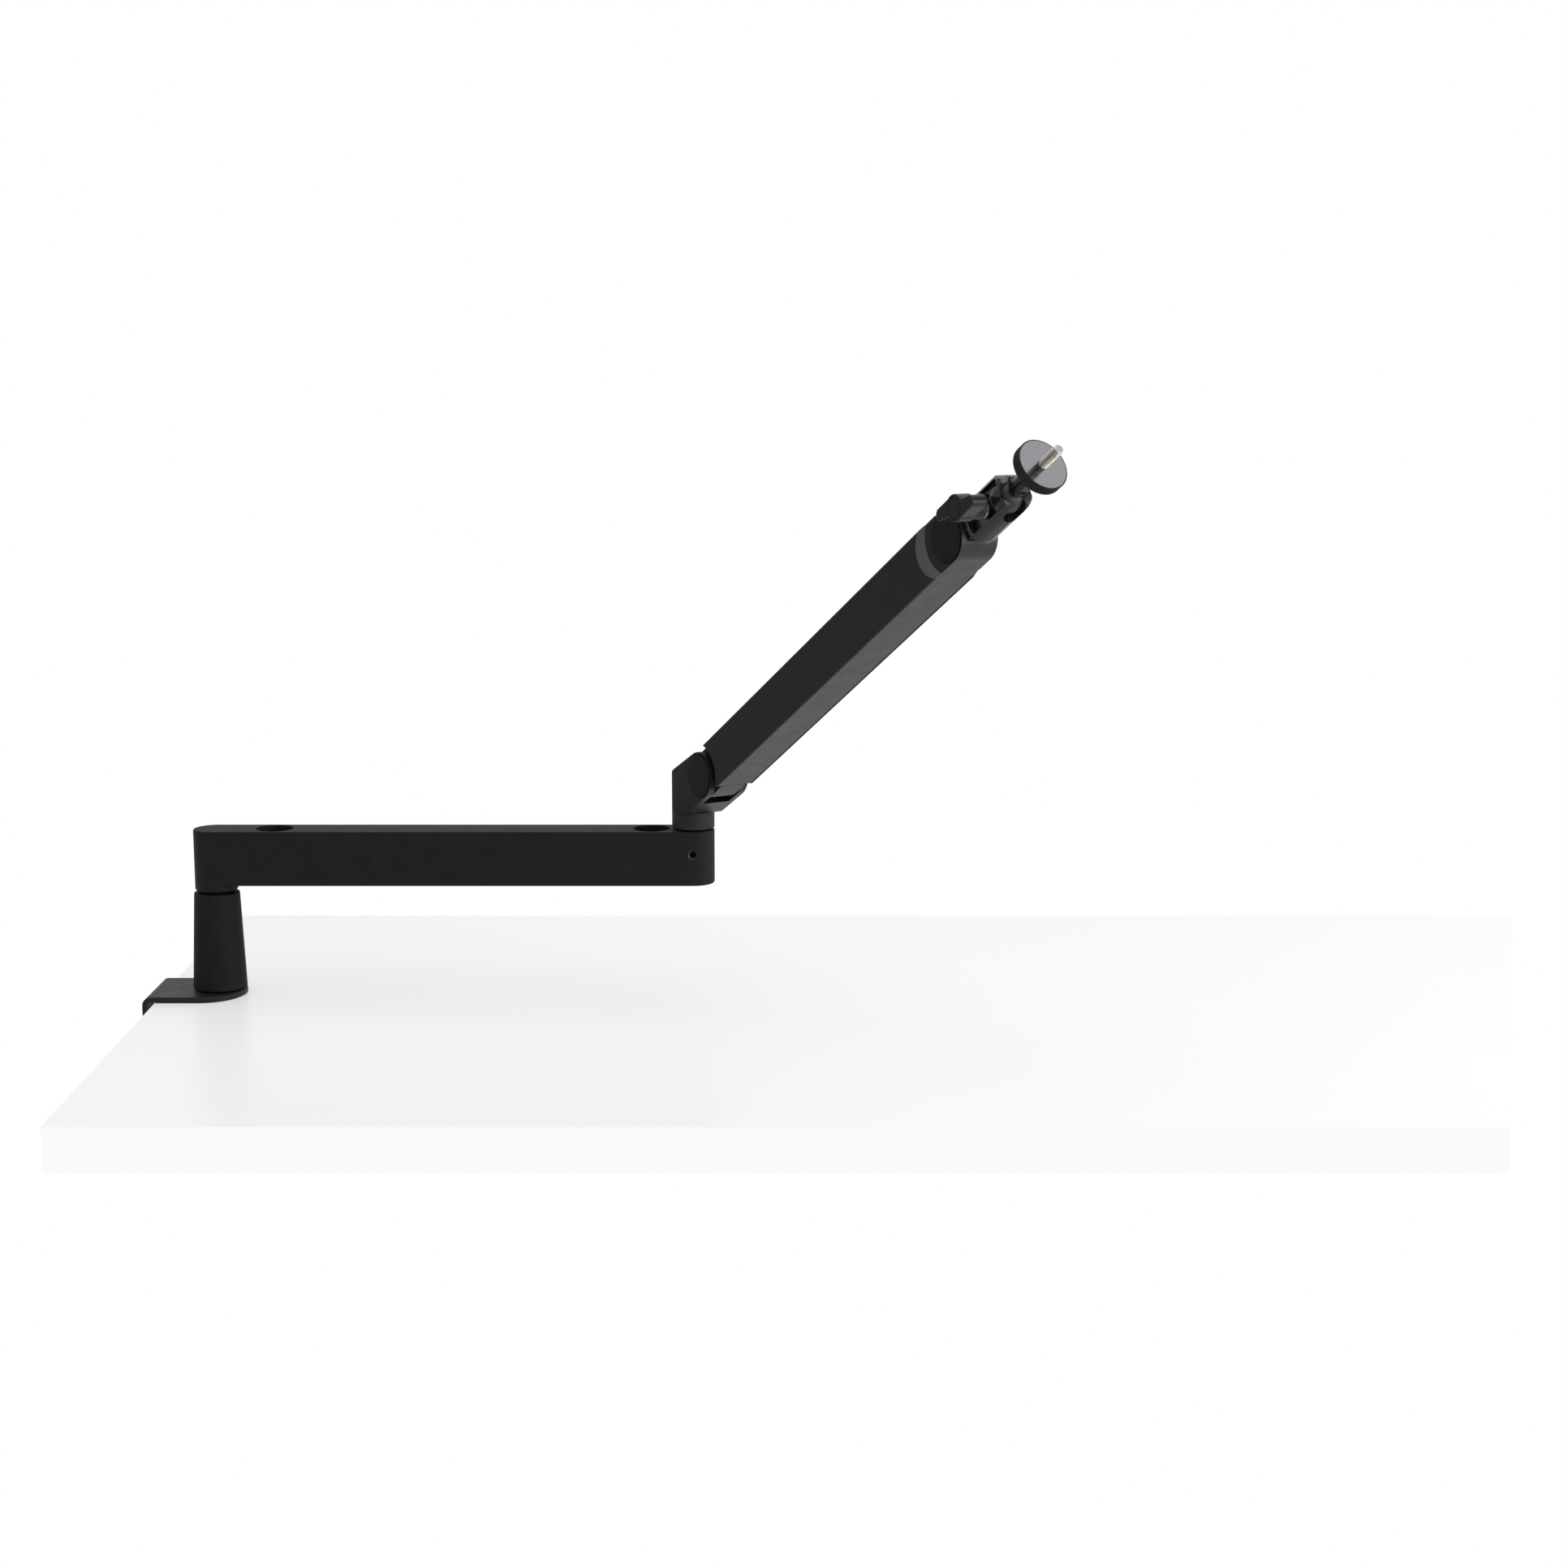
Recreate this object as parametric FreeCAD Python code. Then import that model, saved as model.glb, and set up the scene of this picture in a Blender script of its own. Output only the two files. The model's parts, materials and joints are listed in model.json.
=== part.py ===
import FreeCAD, Part
import math
import os

# Desk-clamped microphone boom arm, in millimetres.
# Origin: on the riser's axis, at the desk top. +X runs along the lower arm, +Y to the back, +Z up.

V = FreeCAD.Vector
AXIS_X = V(1, 0, 0)
AXIS_Y = V(0, 1, 0)
AXIS_Z = V(0, 0, 1)

# Fits shared by all pieces
cut_over = 3.0
press_gap = 0.02
running_gap = 0.06
seat_gap = 0.12
same_place = 0.01

# Pose at rest, in degrees
arm_heading = 58.0
arm_rise = 32.4
arm_rise_low = 0.0
arm_rise_high = 75.0
head_swing = 60.0
stud_lean = 1.87
stud_lean_side = 28.5
ball_lean_limit = 20.0

# Clamp bracket, bent from steel plate
plate_thick = 3.7
plate_width = 60.0
plate_reach = 19.6
plate_edge_round = 1.0
web_setback = 50.9
bend_radius = 6.0
jaw_opening = 78.0
jaw_width = 44.0
taper_start = 22.0
taper_end = 58.0
clamp_screw_setback = 14.0

# Rubber pad under the bracket
desk_pad_thick = 0.8
desk_pad_inset = 1.5

# Clamp screw, its nut, knob and pressure plate
desk_thick = 30.0
clamp_screw_radius = 5.0
clamp_screw_length = 84.0
screw_tip_radius = 3.5
screw_tip_length = 4.0
clamp_nut_radius = 8.0
clamp_nut_flange_radius = 11.0
clamp_nut_flange_thick = 2.0
clamp_nut_drop = 3.0
pressure_pad_radius = 16.0
pressure_pad_thick = 2.0
pressure_plate_radius = 17.5
pressure_plate_thick = 3.0
pressure_boss_radius = 8.5
pressure_boss_height = 3.5
clamp_knob_radius = 18.0
clamp_knob_height = 20.0
clamp_knob_flutes = 8
flute_radius = 4.0
flute_depth = 1.8
clamp_knob_collar_radius = 10.0
clamp_knob_collar_height = 3.0
knob_screw_seat = 14.0

# Post that carries the riser
riser_lift = 1.2
post_collar_radius = 15.0
post_screw_radius = 4.0
post_screw_head_radius = 7.2
post_screw_grip = 22.0
post_top_gap = 2.5

# Riser
riser_foot_radius = 19.6
riser_top_radius = 16.5
riser_height = 71.5
riser_foot_round = 0.8
riser_top_round = 1.2

# Swivel spindles and bushes, alike at the riser and at the elbow
spindle_radius = 7.0
bush_wall = 3.0
bush_length = 12.0
bush_flange_radius = 13.0
bush_flange_thick = 0.9
base_washer_thick = 0.9
base_spindle_depth = 35.0
base_spindle_grip = 28.0

# Lower arm
lower_span = 350.0
lower_width = 31.0
lower_height = 40.2
lower_top_round = 1.2
lower_foot_round = 1.5
hub_height = 5.1
hub_round = 1.5
cable_hole_radius = 13.4
base_hole_inset = 44.0
elbow_hole_inset = 30.4
channel_top_wall = 3.0
channel_side_wall = 3.0
cover_ledge = 1.1
lower_cover_thick = 2.2
cover_rib_height = 7.0
cover_rib_thick = 1.4
cover_rib_inset = 18.0
set_screw_radius = 2.6
set_screw_drop = 17.0
set_screw_recess = 1.8
set_screw_rim = 0.9
set_screw_tip_gap = 0.25
hex_socket_share = 0.5

# Elbow
elbow_washer_thick = 1.4
elbow_washer_radius = 13.5
collar_height = 12.0
spindle_head_grip = 13.0
retainer_radius = 9.6
retainer_thick = 2.0
retainer_gap = 0.2
retainer_lift = 3.6
retainer_screw_radius = 3.0
retainer_head_radius = 5.0
retainer_head_height = 3.0
retainer_screw_length = 14.0
snout_reach = 35.2
tilt_rise = 31.9
cheek_radius = 16.9
snout_top_angle = 28.0
chin_angle = 30.5
cheek_gap = 22.0
slot_room = 5.3

# Hinge discs and bolts, alike at the elbow and at the tip
cap_radius = 15.3
cap_groove = 0.4
cap_thick = 1.2
cap_round = 0.3
cap_proud = 0.7
bolt_head_thick = 1.4
bolt_head_radius = 8.0
tilt_bolt_radius = 5.0
tilt_thread_radius = 4.0
tilt_washer_radius = 14.0

# Upper arm
upper_span = 350.0
sleeve_width = 30.6
sleeve_top = 16.8
sleeve_under = 16.25
sleeve_side_wall = 1.8
sleeve_top_wall = 2.5
sleeve_round = 1.5
sleeve_inner_round = 1.0
sleeve_hollow_radius = 23.1
tip_hollow_radius = 19.2
tip_hollow_setback = 12.3
upper_cover_thick = 1.8
upper_cover_start = 17.2
upper_cover_stop = 22.0
upper_rib_height = 5.0

# Knuckle of the upper arm, in the elbow
knuckle_radius = 16.2
knuckle_width = 20.0
knuckle_bush_wall = 2.0
neck_drop = 0.5
shank_start = 24.6
shank_length = 38.0
shank_under = 5.0
shank_gap = 0.1
sleeve_screw_radius = 2.0
sleeve_screw_head_radius = 3.5
sleeve_screw_head_height = 2.2
sleeve_screw_bite = 1.6
sleeve_screw_shares = (0.3, 0.75)

# Tip clevis of the upper arm
tip_width = 26.8
tip_radius = 16.4
tip_bevel_radius = 22.3
tip_gap = 19.0
tip_slot_room = 0.6
neck_path_shares = (0, 0.5, 1)
tip_joint_gap = 0.15
head_bolt_radius = 4.0
head_thread_radius = 3.2
head_washer_radius = 9.8

# Ball head
tongue_radius = 11.0
tongue_width = 18.0
neck_half_height = 9.4
neck_gap = 0.25
head_setoff = 0.9
head_base_thick = 3.6
head_width = 22.0
head_under = 14.4
head_upper = 13.7
head_nose = 46.5
head_mouth = 58.6
jaw_slit = 0.8
ball_distance = 50.0
ball_drop = 1.45
ball_radius = 9.2
socket_gap = 0.15
socket_wall = 1.8
mouth_spare = 1.0
notch_width = 11.6
notch_start = 43.0
rim_height = 5.0
rim_depth = 4.5
mouth_lip = 1.4
jaw_boss_radius = 7.5
knob_axis = 37.5
jaw_nut_radius = 4.2
jaw_nut_depth = 6.0

# Wing knob
knob_screw_radius = 2.5
knob_screw_spare = 0.5
knob_washer_thick = 1.0
knob_neck_length = 8.5
knob_neck_radius = 6.8
knob_foot_radius = 7.8
wing_radius = 8.3
wing_end_radius = 3.9
wing_reach = 14.7
wing_outer = 7.8
wing_root = 3.7
wing_depth = 10.3
wing_round = 0.7
knob_ring_radius = 6.6
knob_ring_width = 0.5
knob_ring_depth = 0.4
knob_screw_cover = 2.5

# Ball stem, stud and locking disc
neck_radius = 3.8
neck_length = 0.2
stem_radius = 5.8
stem_bevel = 0.5
stem_flat = 9.8
stem_flat_start = 4.5
stem_length = 18.15
stem_collar_radius = 6.6
stem_collar_length = 2.6
disc_seat_gap = 0.15
stud_radius = 3.175
stud_reach = 17.0
stud_grip = 10.0
stud_chamfer = 0.9
stud_relief_length = 0.6
stud_relief_depth = 0.3
disc_radius = 16.7
disc_thick = 8.0
disc_edge_round = 0.7
disc_back_taper = 1.4
face_radius = 15.85
face_thick = 0.8

# Heights that follow from the sizes above
plate_top = desk_pad_thick + plate_thick
jaw_top = -jaw_opening
jaw_foot = jaw_top - plate_thick
riser_foot = plate_top + riser_lift
riser_top = riser_foot + riser_height
hub_foot = riser_top + bush_flange_thick + base_washer_thick
lower_foot = hub_foot + hub_height
lower_top = lower_foot + lower_height
collar_foot = lower_top + elbow_washer_thick
collar_top = collar_foot + collar_height
tilt_height = collar_top + tilt_rise
base_spindle_foot = riser_top - base_spindle_depth
post_top = base_spindle_foot - post_top_gap

# Half widths and radii that follow
lower_half = lower_width / 2
sleeve_half = sleeve_width / 2
tip_half = tip_width / 2
head_half = head_width / 2
bush_radius = spindle_radius + bush_wall
slot_radius = knuckle_radius + slot_room
knuckle_half = knuckle_width / 2
cheek_inner = cheek_gap / 2
tip_inner = tip_gap / 2
tongue_half = tongue_width / 2
shank_top = sleeve_top - sleeve_top_wall - shank_gap
shank_half = sleeve_half - sleeve_side_wall - shank_gap
socket_radius = ball_radius + socket_gap
head_middle = (head_upper - head_under) / 2
ball_level = head_middle - ball_drop
head_foot = tip_radius + head_setoff
disc_foot = ball_radius + neck_length + stem_length + stem_collar_length + disc_seat_gap
disc_top = disc_foot + disc_thick
head_half_height = (head_upper + head_under) / 2
shoulder_angle = math.degrees(math.atan2(stem_radius, ball_radius + neck_length))
mouth_spread = ball_lean_limit + mouth_spare + shoulder_angle
channel_half = lower_half - channel_side_wall
cover_half = channel_half + cover_ledge
elbow_hole_x = lower_span - elbow_hole_inset
pressure_foot = -desk_thick - pressure_pad_thick - pressure_plate_thick - pressure_boss_height

# Frames of the moving groups at rest
base_frame = FreeCAD.Placement()
elbow_frame = FreeCAD.Placement(V(lower_span, 0, 0), FreeCAD.Rotation(AXIS_Z, -arm_heading))
arm_frame = elbow_frame.multiply(
    FreeCAD.Placement(V(snout_reach, 0, tilt_height), FreeCAD.Rotation(AXIS_Y, -arm_rise)))
head_frame = arm_frame.multiply(FreeCAD.Placement(V(upper_span, 0, 0), FreeCAD.Rotation()))
stud_axis = V(math.cos(math.radians(stud_lean)),
              math.sin(math.radians(stud_lean)) * math.cos(math.radians(stud_lean_side)),
              math.sin(math.radians(stud_lean)) * math.sin(math.radians(stud_lean_side)))
ball_frame = head_frame.multiply(
    FreeCAD.Placement(V(ball_distance, 0, ball_level), FreeCAD.Rotation(AXIS_Z, stud_axis)))


# Plain shapes

def box(x0, x1, y0, y1, z0, z1):
    return Part.makeBox(x1 - x0, y1 - y0, z1 - z0, V(x0, y0, z0))


def rod_z(radius, z0, z1, x=0, y=0):
    return Part.makeCylinder(radius, z1 - z0, V(x, y, z0), AXIS_Z)


def rod_y(radius, y0, y1, x=0, z=0):
    return Part.makeCylinder(radius, y1 - y0, V(x, y0, z), AXIS_Y)


def ring_z(outer, inner, z0, z1, x=0):
    return rod_z(outer, z0, z1, x).cut(rod_z(inner, z0 - cut_over, z1 + cut_over, x))


def ring_y(outer, inner, y0, y1):
    return rod_y(outer, y0, y1).cut(rod_y(inner, y0 - cut_over, y1 + cut_over))


def turned(points):
    """Solid of revolution about Z from (radius, height) points."""
    wire = Part.makePolygon([V(r, 0, z) for r, z in points + points[:1]])
    return Part.Face(wire).revolve(V(0, 0, 0), AXIS_Z, 360)


def stadium(half, x0, x1, z0, z1):
    """Upright prism with straight sides and round ends centred at x0 and x1."""
    corners = (V(x0, -half, z0), V(x1, -half, z0), V(x1, half, z0), V(x0, half, z0))
    edges = [Part.LineSegment(corners[0], corners[1]).toShape(),
             Part.Arc(corners[1], V(x1 + half, 0, z0), corners[2]).toShape(),
             Part.LineSegment(corners[2], corners[3]).toShape(),
             Part.Arc(corners[3], V(x0 - half, 0, z0), corners[0]).toShape()]
    return Part.Face(Part.Wire(edges)).extrude(V(0, 0, z1 - z0))


def fused(first, *rest):
    return first.fuse(list(rest)).removeSplitter()


def rounded(shape, radius, chosen):
    return shape.makeFillet(radius, [edge for edge in shape.Edges if chosen(edge)])


def at_height(z):
    """Chooser of the edges that lie flat at one height."""
    return lambda edge: max(abs(edge.BoundBox.ZMin - z), abs(edge.BoundBox.ZMax - z)) < same_place


def at_depth(y):
    """Chooser of the edges that lie in one plane across Y."""
    return lambda edge: max(abs(edge.BoundBox.YMin - y), abs(edge.BoundBox.YMax - y)) < same_place


def along_x_at(z):
    """Chooser of the edges that run along X at one height."""
    return lambda edge: at_height(z)(edge) and edge.BoundBox.YLength < same_place


def mirrored(shape):
    return shape.mirror(V(0, 0, 0), AXIS_Y)


def hex_socket(width, z0, z1, x=0, y=0):
    radius = width / math.sqrt(3)
    turns = [math.radians(60 * i) for i in range(7)]
    corners = [V(x + radius * math.cos(turn), y + radius * math.sin(turn), z0) for turn in turns]
    return Part.Face(Part.makePolygon(corners)).extrude(V(0, 0, z1 - z0))


# Desk clamp, fixed pieces

def clamp_bracket():
    half = plate_width / 2
    outer = box(-web_setback, plate_reach, -half, half, jaw_foot, plate_top)
    throat = box(plate_thick - web_setback, plate_reach + cut_over, -half - cut_over, half + cut_over,
                 jaw_top, desk_pad_thick)
    bent = outer.cut(throat)

    def along_y_at(x):
        def chosen(edge):
            bounds = edge.BoundBox
            return bounds.YLength > half and abs(bounds.XMin - x) < same_place and bounds.XLength < same_place
        return chosen

    bent = rounded(bent, bend_radius, along_y_at(-web_setback))
    bent = rounded(bent, bend_radius - plate_thick, along_y_at(plate_thick - web_setback))
    return bent.common(bracket_outline()).cut(bracket_holes())


def bracket_outline():
    half = plate_width / 2
    back = -web_setback - cut_over
    top_plan = stadium(half, back - half, plate_reach - half, -taper_start, plate_top)
    top_plan = rounded(top_plan, plate_edge_round, at_height(plate_top))
    low_plan = stadium(jaw_width / 2, back - half, -clamp_screw_setback, jaw_foot - cut_over, -taper_start)
    taper = Part.Face(Part.makePolygon([
        V(back, -half, -taper_start), V(back, half, -taper_start), V(back, jaw_width / 2, -taper_end),
        V(back, -jaw_width / 2, -taper_end), V(back, -half, -taper_start)]))
    web = taper.extrude(V(cut_over + plate_thick + cut_over, 0, 0))
    return top_plan.fuse([low_plan, web])


def bracket_holes():
    head_depth = post_screw_head_radius - post_screw_radius
    sink = Part.makeCone(post_screw_head_radius + press_gap, post_screw_radius + press_gap, head_depth,
                         V(0, 0, desk_pad_thick), AXIS_Z)
    shank = rod_z(post_screw_radius + press_gap, desk_pad_thick, plate_top + cut_over)
    nut = rod_z(clamp_nut_radius + press_gap, jaw_foot - cut_over, jaw_top + cut_over, -clamp_screw_setback)
    return sink.fuse([shank, nut])


def desk_pad():
    half = plate_width / 2 - desk_pad_inset
    start = plate_thick + bend_radius - web_setback
    sheet = stadium(half, start, plate_reach - plate_width / 2, 0, desk_pad_thick)
    return sheet.cut(box(start - plate_width, start, -plate_width, plate_width, -cut_over, plate_top))


def clamp_nut():
    body = fused(rod_z(clamp_nut_radius, jaw_foot - clamp_nut_drop, jaw_top),
                 rod_z(clamp_nut_flange_radius, jaw_top, jaw_top + clamp_nut_flange_thick))
    bore = rod_z(clamp_screw_radius + running_gap, jaw_foot - clamp_nut_drop - cut_over,
                 jaw_top + clamp_nut_flange_thick + cut_over)
    nut = body.cut(bore)
    nut.translate(V(-clamp_screw_setback, 0, 0))
    return nut


def base_post():
    shaft = rod_z(bush_radius, riser_foot, post_top)
    collar = rod_z(post_collar_radius, plate_top, riser_foot)
    tapped = rod_z(post_screw_radius + press_gap, plate_top - cut_over, plate_top + post_screw_grip)
    return fused(shaft, collar).cut(tapped)


def post_screw():
    head_depth = post_screw_head_radius - post_screw_radius
    head = Part.makeCone(post_screw_head_radius, post_screw_radius, head_depth,
                         V(0, 0, desk_pad_thick), AXIS_Z)
    shank = rod_z(post_screw_radius, desk_pad_thick + head_depth, plate_top + post_screw_grip)
    socket = hex_socket(post_screw_head_radius * hex_socket_share * 2, desk_pad_thick - cut_over,
                        desk_pad_thick + head_depth)
    return fused(head, shank).cut(socket)


def riser():
    cone = Part.makeCone(riser_foot_radius, riser_top_radius, riser_height, V(0, 0, riser_foot), AXIS_Z)
    cone = rounded(cone, riser_top_round, at_height(riser_top))
    cone = rounded(cone, riser_foot_round, at_height(riser_foot))
    return cone.cut(rod_z(bush_radius + press_gap, riser_foot - cut_over, riser_top + cut_over))


def riser_bush_upper():
    sleeve = rod_z(bush_radius, riser_top - bush_length, riser_top + bush_flange_thick)
    flange = rod_z(bush_flange_radius, riser_top, riser_top + bush_flange_thick)
    bore = rod_z(spindle_radius + running_gap, riser_top - bush_length - cut_over, riser_top + cut_over)
    return fused(sleeve, flange).cut(bore)


def riser_bush_lower():
    top = base_spindle_foot + bush_length
    return ring_z(bush_radius, spindle_radius + running_gap, base_spindle_foot, top)


# Desk clamp, moving pieces, drawn on the screw's own axis

def on_clamp_screw(shape):
    shape.translate(V(-clamp_screw_setback, 0, 0))
    return shape


def pressure_pad():
    return on_clamp_screw(rod_z(pressure_pad_radius, -desk_thick - pressure_pad_thick, -desk_thick))


def pressure_plate():
    top = -desk_thick - pressure_pad_thick
    disc = rod_z(pressure_plate_radius, top - pressure_plate_thick, top)
    boss = rod_z(pressure_boss_radius, pressure_foot, top - pressure_plate_thick)
    socket = rod_z(screw_tip_radius + running_gap, pressure_foot - cut_over, pressure_foot + screw_tip_length)
    return on_clamp_screw(fused(disc, boss).cut(socket))


def clamp_screw():
    tip = rod_z(screw_tip_radius, pressure_foot, pressure_foot + screw_tip_length)
    thread = rod_z(clamp_screw_radius, pressure_foot - clamp_screw_length, pressure_foot)
    return on_clamp_screw(fused(thread, tip))


def clamp_knob():
    foot = pressure_foot - clamp_screw_length - clamp_knob_height + knob_screw_seat
    top = foot + clamp_knob_height
    body = rod_z(clamp_knob_radius, foot, top)
    for i in range(clamp_knob_flutes):
        turn = math.radians(360 * i / clamp_knob_flutes)
        out = clamp_knob_radius + flute_radius - flute_depth
        body = body.cut(rod_z(flute_radius, foot - cut_over, top + cut_over,
                              out * math.cos(turn), out * math.sin(turn)))
    collar = rod_z(clamp_knob_collar_radius, top, top + clamp_knob_collar_height)
    seat = rod_z(clamp_screw_radius + press_gap, top - knob_screw_seat,
                 top + clamp_knob_collar_height + cut_over)
    return on_clamp_screw(fused(body, collar).cut(seat))


# Lower arm

def lower_arm_shell():
    beam = stadium(lower_half, 0, lower_span, lower_foot, lower_top)
    beam = rounded(beam, lower_top_round, at_height(lower_top))
    beam = rounded(beam, lower_foot_round, at_height(lower_foot))
    hub = rod_z(lower_half, hub_foot, lower_top - lower_top_round)
    hub = rounded(hub, hub_round, at_height(hub_foot))
    beam = fused(beam, hub)
    channel = stadium(channel_half, base_hole_inset, elbow_hole_x, lower_foot - cut_over,
                      lower_top - channel_top_wall)
    ledge = stadium(cover_half, base_hole_inset, elbow_hole_x, lower_foot - cut_over,
                    lower_foot + lower_cover_thick)
    holes = [rod_z(cable_hole_radius, lower_foot + lower_cover_thick, lower_top + cut_over, x)
             for x in (base_hole_inset, elbow_hole_x)]
    spindle_seat = rod_z(spindle_radius + press_gap, hub_foot - cut_over, lower_foot + base_spindle_grip)
    elbow_bore = rod_z(bush_radius + press_gap, lower_foot - cut_over, lower_top + cut_over, lower_span)
    return beam.cut([channel, ledge, spindle_seat, elbow_bore, set_screw_hole()] + holes)


def set_screw_hole():
    height = lower_top - set_screw_drop
    hole = rod_y(set_screw_radius + press_gap, -lower_half - cut_over, 0, lower_span, height)
    rim = Part.makeCone(set_screw_radius + set_screw_rim, set_screw_radius, set_screw_rim,
                        V(lower_span, -lower_half, height), AXIS_Y)
    return hole.fuse(rim)


def elbow_set_screw():
    start = set_screw_recess - lower_half
    stop = -spindle_radius - set_screw_tip_gap
    screw = Part.makeCylinder(set_screw_radius, stop - start, V(0, 0, 0), AXIS_Z)
    screw = screw.cut(hex_socket(2 * set_screw_radius * hex_socket_share, -cut_over, set_screw_recess))
    screw.rotate(V(0, 0, 0), AXIS_X, -90)
    screw.translate(V(lower_span, start, lower_top - set_screw_drop))
    return screw


def lower_arm_cover():
    half = cover_half - seat_gap
    plate = stadium(half, base_hole_inset, elbow_hole_x, lower_foot, lower_foot + lower_cover_thick)
    wall = channel_half - seat_gap
    ribs = [box(base_hole_inset + cover_rib_inset, elbow_hole_x - cover_rib_inset, min(y), max(y),
                lower_foot + lower_cover_thick, lower_foot + lower_cover_thick + cover_rib_height)
            for y in ((wall, wall - cover_rib_thick), (-wall, cover_rib_thick - wall))]
    return fused(plate, *ribs)


def base_spindle():
    return rod_z(spindle_radius, base_spindle_foot, lower_foot + base_spindle_grip)


def base_washer():
    return ring_z(bush_flange_radius, spindle_radius + press_gap, hub_foot - base_washer_thick, hub_foot)


def elbow_bush_upper():
    return ring_z(bush_radius, spindle_radius + running_gap, lower_top - bush_length, lower_top, lower_span)


def elbow_bush_lower():
    foot = lower_foot + retainer_lift + retainer_thick + retainer_gap
    return ring_z(bush_radius, spindle_radius + running_gap, foot, foot + bush_length, lower_span)


# Elbow, drawn about the swivel axis with the hinge in front

def elbow_washer():
    return ring_z(elbow_washer_radius, spindle_radius + press_gap, lower_top, collar_foot)


def elbow_collar():
    return ring_z(lower_half, spindle_radius + press_gap, collar_foot, collar_top)


def elbow_spindle():
    foot = lower_foot + retainer_lift + retainer_thick
    shaft = rod_z(spindle_radius, foot, collar_top + spindle_head_grip)
    return shaft.cut(rod_z(retainer_screw_radius + press_gap, foot - cut_over, foot + retainer_screw_length))


def spindle_retainer():
    foot = lower_foot + retainer_lift
    return ring_z(retainer_radius, retainer_screw_radius + press_gap, foot, foot + retainer_thick)


def retainer_screw():
    seat = lower_foot + retainer_lift
    shank = rod_z(retainer_screw_radius, seat, seat + retainer_thick + retainer_screw_length)
    head = rod_z(retainer_head_radius, seat - retainer_head_height, seat)
    socket = hex_socket(retainer_head_radius * 2 * hex_socket_share, seat - retainer_head_height - cut_over,
                        seat - retainer_head_height * hex_socket_share)
    return fused(shank, head).cut(socket)


def snout_side():
    """Side outline of the elbow head: flat foot, sloping chin, round cheeks, sloping top."""
    chin, top = math.radians(chin_angle), math.radians(snout_top_angle)
    low = V(snout_reach + cheek_radius * math.sin(chin), 0, tilt_height - cheek_radius * math.cos(chin))
    high = V(snout_reach - cheek_radius * math.sin(top), 0, tilt_height + cheek_radius * math.cos(top))
    foot_front = V(low.x - (low.z - collar_top) / math.tan(chin), 0, collar_top)
    foot_back = V(-lower_half, 0, collar_top)
    top_back = V(-lower_half, 0, high.z - (high.x + lower_half) * math.tan(top))
    edges = [Part.LineSegment(foot_back, foot_front).toShape(), Part.LineSegment(foot_front, low).toShape(),
             Part.Arc(low, V(snout_reach + cheek_radius, 0, tilt_height), high).toShape(),
             Part.LineSegment(high, top_back).toShape(), Part.LineSegment(top_back, foot_back).toShape()]
    return Part.Face(Part.Wire(edges))


def knuckle_path(rise):
    """Room that the upper arm's knuckle takes between the cheeks at one tilt."""
    room = knuckle_radius + seat_gap
    path = box(0, slot_radius * 2, -cheek_inner, cheek_inner, -room, room)
    path.Placement = FreeCAD.Placement(V(snout_reach, 0, tilt_height), FreeCAD.Rotation(AXIS_Y, -rise))
    return path


def elbow_head():
    side = snout_side()
    side.translate(V(0, -lower_half, 0))
    block = side.extrude(V(0, lower_width, 0))
    plan = fused(rod_z(lower_half, collar_top, tilt_height * 2),
                 box(0, snout_reach * 2, -lower_half, lower_half, collar_top, tilt_height * 2))
    block = block.common(plan)
    slot = rod_y(slot_radius, -cheek_inner, cheek_inner, snout_reach, tilt_height)
    spindle_seat = rod_z(spindle_radius + press_gap, collar_top - cut_over, collar_top + spindle_head_grip)
    cuts = [slot, knuckle_path(arm_rise_low), knuckle_path(arm_rise_high), spindle_seat]
    pocket = hinge_pocket(lower_half, tilt_bolt_radius)
    pocket.translate(V(snout_reach, 0, tilt_height))
    return block.cut(cuts + [pocket])


# Hinge fittings, drawn about the hinge axis along Y

def hinge_pocket(outer, bolt):
    """Recesses for both discs, the bolt head and its nut, and the bolt's bore."""
    disc = rod_y(cap_radius + cap_groove, outer - cap_thick, outer + cut_over)
    head = rod_y(bolt_head_radius + seat_gap, outer - cap_thick - bolt_head_thick, outer)
    bore = rod_y(bolt + press_gap, -outer, outer)
    return bore.fuse([disc, head, mirrored(disc), mirrored(head)])


def hinge_cap(outer):
    face = outer + cap_proud
    disc = rod_y(cap_radius, outer - cap_thick, face)
    return rounded(disc, cap_round, at_depth(face))


def hinge_bolt(outer, bolt, thread):
    seat = outer - cap_thick - bolt_head_thick
    head = rod_y(bolt_head_radius, -outer + cap_thick, -seat)
    shank = rod_y(bolt, -seat, seat)
    end = rod_y(thread, seat, outer - cap_thick)
    return fused(head, shank, end)


def hinge_nut(outer, thread):
    seat = outer - cap_thick - bolt_head_thick
    return ring_y(bolt_head_radius, thread + press_gap, seat, outer - cap_thick)


def hinge_washers(radius, bolt, inner, outer):
    washer = ring_y(radius, bolt + press_gap, inner + running_gap, outer)
    return Part.makeCompound([washer, mirrored(washer)])


def elbow_cap_far():
    return hinge_cap(lower_half)


def elbow_cap_near():
    return mirrored(hinge_cap(lower_half))


def tilt_bolt():
    return hinge_bolt(lower_half, tilt_bolt_radius, tilt_thread_radius)


def tilt_nut():
    return hinge_nut(lower_half, tilt_thread_radius)


def tilt_washers():
    return hinge_washers(tilt_washer_radius, tilt_bolt_radius, knuckle_half, cheek_inner)


# Upper arm, drawn along +X from the tilt axis

def sleeve_solid(x0, x1):
    """Solid with the sleeve's outer section: sharp lower edges, rounded upper ones."""
    solid = box(x0, x1, -sleeve_half, sleeve_half, -sleeve_under, sleeve_top)
    return rounded(solid, sleeve_round, along_x_at(sleeve_top))


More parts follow.
